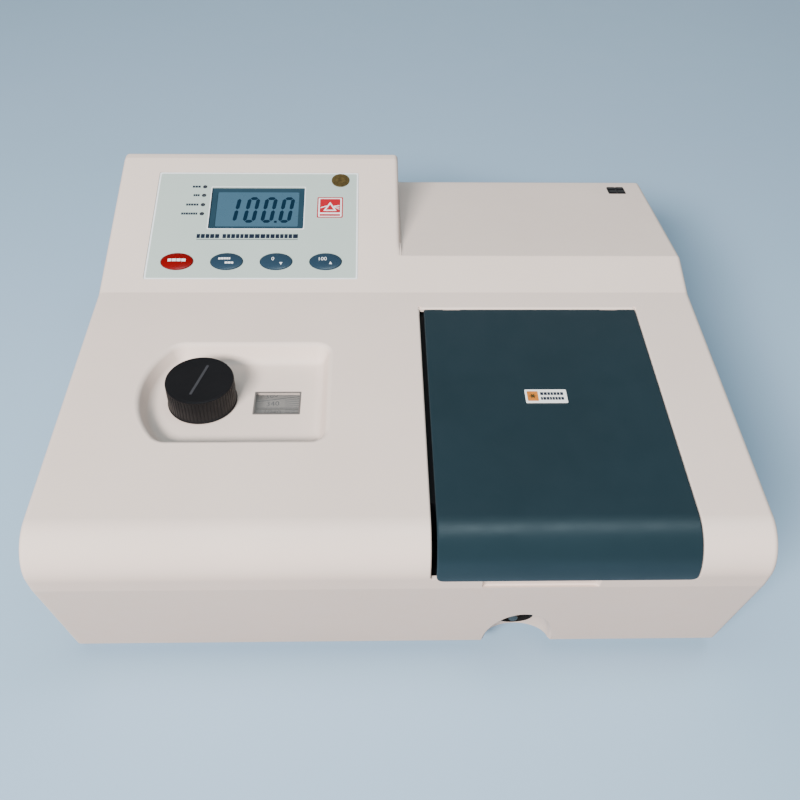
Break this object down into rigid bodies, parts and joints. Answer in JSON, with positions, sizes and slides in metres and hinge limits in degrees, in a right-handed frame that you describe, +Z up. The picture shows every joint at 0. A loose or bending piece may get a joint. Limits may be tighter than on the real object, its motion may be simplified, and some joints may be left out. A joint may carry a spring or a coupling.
{
  "type": "spectrophotometer",
  "caption": "Bench visible-light spectrophotometer with a tilted display console, hinged sample lid, wavelength knob and pull-rod cuvette changer.",
  "frame": {"origin": "middle of the instrument's footprint, on the surface it stands on", "axes": "+X to the operator's right, +Y from the operator to the back, +Z up"},
  "size_m": [0.42, 0.3964, 0.1787],
  "materials": {
    "shell_plastic": "warm off-white moulded ABS, fine satin grain",
    "lid_plastic": "dark teal moulded ABS, satin",
    "black_plastic": "matte black moulded plastic",
    "steel": "turned and plated steel",
    "aluminium": "as-cast and machined aluminium",
    "zinc_plate": "zinc-plated folded sheet",
    "rubber": "matte black rubber",
    "panel_film": "grey-green printed polyester film",
    "lcd_glass": "blue-grey liquid crystal display behind a clear pane",
    "circuit_board": "green solder mask",
    "red_key": "gloss red key cap",
    "blue_key": "gloss dark blue key caps",
    "light_pipe": "clear dark-tinted moulding",
    "clear_window": "clear acrylic",
    "lamp_glass": "clear quartz and optical glass",
    "dial_face": "white enamel scale",
    "brass": "turned brass",
    "sticker": "bronze-coloured foil sticker",
    "mirror_glass": "front-surface mirror coating",
    "seal_rubber": "black rubber light seal",
    "ceramic": "glazed ceramic",
    "label_film": "white printed label"
  },
  "bodies": {
    "case": {"top_cover": "shell_plastic", "base_plate": "zinc_plate", "foot_front_left": "rubber", "foot_front_right": "rubber", "foot_rear_left": "rubber", "foot_rear_right": "rubber", "rear_plug": "black_plastic", "lid_hinge_bracket_left": "steel", "lid_hinge_bracket_right": "steel", "lid_hinge_pin_left": "steel", "lid_hinge_pin_right": "steel", "lid_seal": "seal_rubber", "sample_well": "black_plastic", "guide_rail_left": "steel", "guide_rail_right": "steel", "rod_bushing": "brass", "shaft_bushing": "brass", "dial_window": "clear_window", "monochromator_housing": "aluminium", "monochromator_lid": "aluminium", "collimating_mirror": "mirror_glass", "focusing_mirror": "mirror_glass", "exit_slit": "steel", "entrance_slit": "steel", "lamp_housing": "zinc_plate", "condenser_lens": "lamp_glass", "halogen_lamp": "lamp_glass", "lamp_socket": "ceramic", "steering_mirror": "mirror_glass", "steering_mirror_mount": "zinc_plate", "detector_housing": "black_plastic", "photodiode": "steel", "keypad_panel": "panel_film", "status_light_pipe": "light_pipe", "inspection_label": "sticker", "lcd_module": "lcd_glass", "display_board": "circuit_board", "main_board": "circuit_board", "transformer": "zinc_plate", "rear_panel": "zinc_plate", "power_inlet": "black_plastic", "switch_frame": "black_plastic", "fuse_holder": "black_plastic", "fan_frame": "black_plastic"},
    "lid": {"sample_lid": "lid_plastic", "lid_label": "label_film"},
    "wavelength_drive": {"wavelength_knob": "black_plastic", "dial_shaft": "steel", "wavelength_dial": "dial_face"},
    "grating_table": {"grating_turntable": "aluminium", "grating": "mirror_glass"},
    "mode_key": {"key_mode": "red_key"},
    "print_key": {"key_print": "blue_key"},
    "zero_key": {"key_zero": "blue_key"},
    "full_scale_key": {"key_full_scale": "blue_key"},
    "cell_changer": {"sample_carriage": "black_plastic", "pull_rod": "steel", "pull_rod_grip": "steel"},
    "rocker": {"power_rocker": "red_key"},
    "fan": {"fan_rotor": "black_plastic"}
  },
  "joints": [
    {"name": "lid_hinge", "type": "hinge", "parent": "case", "child": "lid", "pos_m": [0.0929, 0.0075, 0.1447], "axis": [-1, 0, 0], "range_deg": [0, 80]},
    {"name": "wavelength_turn", "type": "hinge", "parent": "case", "child": "wavelength_drive", "pos_m": [-0.1254, -0.068, 0.14], "axis": [0, 0, 1], "range_deg": [-98, 224]},
    {"name": "grating_turn", "type": "hinge", "parent": "case", "child": "grating_table", "pos_m": [-0.0704, -0.03336, 0.05], "axis": [0, 0, 1], "range_deg": [-19, 8.5]},
    {"name": "mode_press", "type": "slide", "parent": "case", "child": "mode_key", "axis": [0, 0.2419, -0.9703], "range_m": [0, 0.001], "stiffness_N_per_m": 400, "springref_m": -0.002},
    {"name": "print_press", "type": "slide", "parent": "case", "child": "print_key", "axis": [0, 0.2419, -0.9703], "range_m": [0, 0.001], "stiffness_N_per_m": 400, "springref_m": -0.002},
    {"name": "zero_press", "type": "slide", "parent": "case", "child": "zero_key", "axis": [0, 0.2419, -0.9703], "range_m": [0, 0.001], "stiffness_N_per_m": 400, "springref_m": -0.002},
    {"name": "full_scale_press", "type": "slide", "parent": "case", "child": "full_scale_key", "axis": [0, 0.2419, -0.9703], "range_m": [0, 0.001], "stiffness_N_per_m": 400, "springref_m": -0.002},
    {"name": "cell_pull", "type": "slide", "parent": "case", "child": "cell_changer", "axis": [0, -1, 0], "range_m": [0, 0.051]},
    {"name": "power_switch", "type": "hinge", "parent": "case", "child": "rocker", "pos_m": [-0.105, 0.1903, 0.06], "axis": [1, 0, 0], "range_deg": [-16, 0]},
    {"name": "fan_spin", "type": "hinge", "parent": "case", "child": "fan", "pos_m": [0.09, 0.182, 0.062], "axis": [0, 1, 0], "continuous": true}
  ],
  "couplings": [
    {"joint": "grating_turn", "follows": "wavelength_turn", "ratio": -0.083333}
  ]
}
